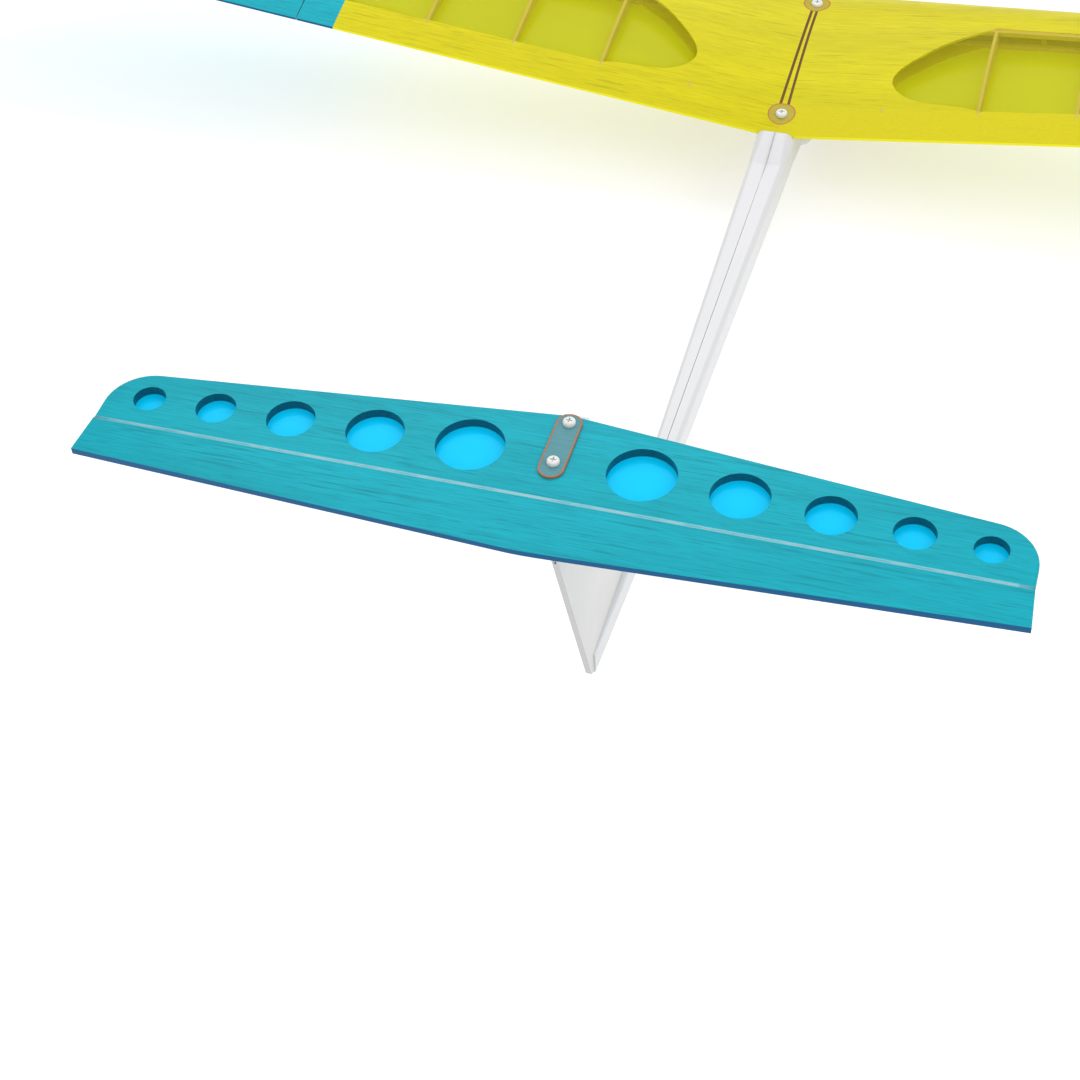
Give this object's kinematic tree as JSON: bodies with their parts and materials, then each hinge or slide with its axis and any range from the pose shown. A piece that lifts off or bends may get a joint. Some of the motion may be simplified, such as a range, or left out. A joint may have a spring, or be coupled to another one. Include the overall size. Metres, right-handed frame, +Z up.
{
  "type": "balsa hand glider",
  "caption": "Built-up balsa hand glider: film-covered V wing on a slim fuselage, T tail with hinged elevator, bolted wing and tail.",
  "frame": {"origin": "on the ground plane, under the middle of the overall length and span", "axes": "+X towards the port wing tip, +Y aft towards the tail, +Z up"},
  "size_m": [1.2804, 0.9041, 0.215],
  "materials": {
    "fuselage_white": "white paint over sheeted balsa",
    "yellow_film": "yellow covering film ironed over balsa sheeting",
    "yellow_bay_film": "yellow covering film over open bays",
    "cyan_film": "cyan covering film over balsa",
    "cyan_bay_film": "cyan covering film over open bays and holes",
    "balsa": "bare balsa",
    "spruce": "bare spruce",
    "ply": "bare plywood",
    "washer": "yellow lacquered ply washer",
    "nylon": "white nylon",
    "clear_plate": "translucent plastic plate",
    "fin_sheet": "white paint over sheet balsa",
    "steel_wire": "drawn steel wire",
    "tube": "extruded guide tube",
    "servo_case": "moulded case",
    "battery_wrap": "shrink wrap",
    "lead": "cast lead"
  },
  "bodies": {
    "airframe": {"aileron_servo_trays": "ply", "aileron_servos": "servo_case", "battery": "battery_wrap", "covering_port": "yellow_bay_film", "covering_starboard": "yellow_bay_film", "elevator_guide_tube": "tube", "elevator_servo": "servo_case", "fin": "fin_sheet", "formers": "balsa", "fuselage_port": "fuselage_white", "fuselage_starboard": "fuselage_white", "leading_edge_port": "yellow_film", "leading_edge_starboard": "yellow_film", "nose_block": "fuselage_white", "nose_weight": "lead", "receiver": "servo_case", "root_ribs": "ply", "servo_tray": "ply", "spar_caps": "spruce", "spar_webs": "balsa", "tail_bolts": "nylon", "tail_clamp_plate": "clear_plate", "tail_mount_block": "ply", "tailplane": "cyan_film", "tailplane_covering": "cyan_bay_film", "tip_block_port": "cyan_film", "tip_block_starboard": "cyan_film", "tip_covering_port": "cyan_bay_film", "tip_covering_starboard": "cyan_bay_film", "tip_leading_edge_port": "cyan_film", "tip_leading_edge_starboard": "cyan_film", "tip_sheeting_port": "cyan_film", "tip_sheeting_starboard": "cyan_film", "tip_trailing_edge_port": "cyan_film", "tip_trailing_edge_starboard": "cyan_film", "trailing_edge_port": "yellow_film", "trailing_edge_starboard": "yellow_film", "under_sheeting_port": "yellow_film", "under_sheeting_starboard": "yellow_film", "upper_sheeting_port": "yellow_film", "upper_sheeting_starboard": "yellow_film", "wing_bolt_plates": "ply", "wing_bolts": "nylon", "wing_ribs": "balsa", "wing_washers": "washer"},
    "hatch": {"hatch": "fuselage_white"},
    "elevator": {"elevator": "cyan_film", "elevator_horn": "nylon"},
    "elevator_rear_rod": {"elevator_rear_rod": "steel_wire"},
    "elevator_front_rod": {"elevator_front_rod": "steel_wire"},
    "elevator_servo_arm": {"elevator_servo_arm": "nylon"},
    "aileron_port": {"aileron_port": "cyan_film", "aileron_horn_port": "nylon"},
    "aileron_rod_port": {"aileron_rod_port": "steel_wire"},
    "aileron_servo_arm_port": {"aileron_servo_arm_port": "nylon"},
    "aileron_starboard": {"aileron_starboard": "cyan_film", "aileron_horn_starboard": "nylon"},
    "aileron_rod_starboard": {"aileron_rod_starboard": "steel_wire"},
    "aileron_servo_arm_starboard": {"aileron_servo_arm_starboard": "nylon"}
  },
  "joints": [
    {"name": "hatch_lift", "type": "slide", "parent": "airframe", "child": "hatch", "axis": [0, 0, 1], "range_m": [0, 0.04]},
    {"name": "elevator_hinge", "type": "hinge", "parent": "airframe", "child": "elevator", "pos_m": [0, 0.41995, 0.212], "axis": [1, 0, 0], "range_deg": [-20, 20]},
    {"name": "elevator_rear_rod_slide", "type": "slide", "parent": "airframe", "child": "elevator_rear_rod", "axis": [0, 0.4741, 0.8805], "range_m": [-0.00515, 0.00515]},
    {"name": "elevator_front_rod_slide", "type": "slide", "parent": "airframe", "child": "elevator_front_rod", "axis": [0, 1, 0], "range_m": [-0.00515, 0.00515]},
    {"name": "elevator_servo_pivot", "type": "hinge", "parent": "airframe", "child": "elevator_servo_arm", "pos_m": [0.002, -0.16915, 0.017], "axis": [1, 0, 0], "range_deg": [-24.61, 24.61]},
    {"name": "aileron_hinge_port", "type": "hinge", "parent": "airframe", "child": "aileron_port", "pos_m": [0.32724, -0.11299, 0.0885], "axis": [0.9947, 0.0027, 0.1031], "range_deg": [-20, 20]},
    {"name": "aileron_rod_slide_port", "type": "slide", "parent": "airframe", "child": "aileron_rod_port", "axis": [0, 0.9997, -0.0262], "range_m": [-0.00419, 0.00419]},
    {"name": "aileron_servo_pivot_port", "type": "hinge", "parent": "airframe", "child": "aileron_servo_arm_port", "pos_m": [0.33845, -0.14802, 0.08806], "axis": [0.9941, 0.0029, 0.1088], "range_deg": [-25.26, 25.26]},
    {"name": "aileron_hinge_starboard", "type": "hinge", "parent": "airframe", "child": "aileron_starboard", "pos_m": [-0.32724, -0.11299, 0.0885], "axis": [0.9947, -0.0027, -0.1031], "range_deg": [-20, 20]},
    {"name": "aileron_rod_slide_starboard", "type": "slide", "parent": "airframe", "child": "aileron_rod_starboard", "axis": [0, 0.9997, -0.0262], "range_m": [-0.00419, 0.00419]},
    {"name": "aileron_servo_pivot_starboard", "type": "hinge", "parent": "airframe", "child": "aileron_servo_arm_starboard", "pos_m": [-0.33845, -0.14802, 0.08806], "axis": [0.9941, -0.0029, -0.1088], "range_deg": [-25.26, 25.26]}
  ],
  "couplings": [
    {"joint": "elevator_rear_rod_slide", "follows": "elevator_hinge", "m_per_rad": 0.014765},
    {"joint": "elevator_front_rod_slide", "follows": "elevator_hinge", "m_per_rad": 0.014765},
    {"joint": "elevator_servo_pivot", "follows": "elevator_hinge", "ratio": -1.2304},
    {"joint": "aileron_rod_slide_port", "follows": "aileron_hinge_port", "m_per_rad": 0.012},
    {"joint": "aileron_servo_pivot_port", "follows": "aileron_hinge_port", "ratio": 1.2632},
    {"joint": "aileron_rod_slide_starboard", "follows": "aileron_hinge_starboard", "m_per_rad": 0.012},
    {"joint": "aileron_servo_pivot_starboard", "follows": "aileron_hinge_starboard", "ratio": 1.2632}
  ]
}
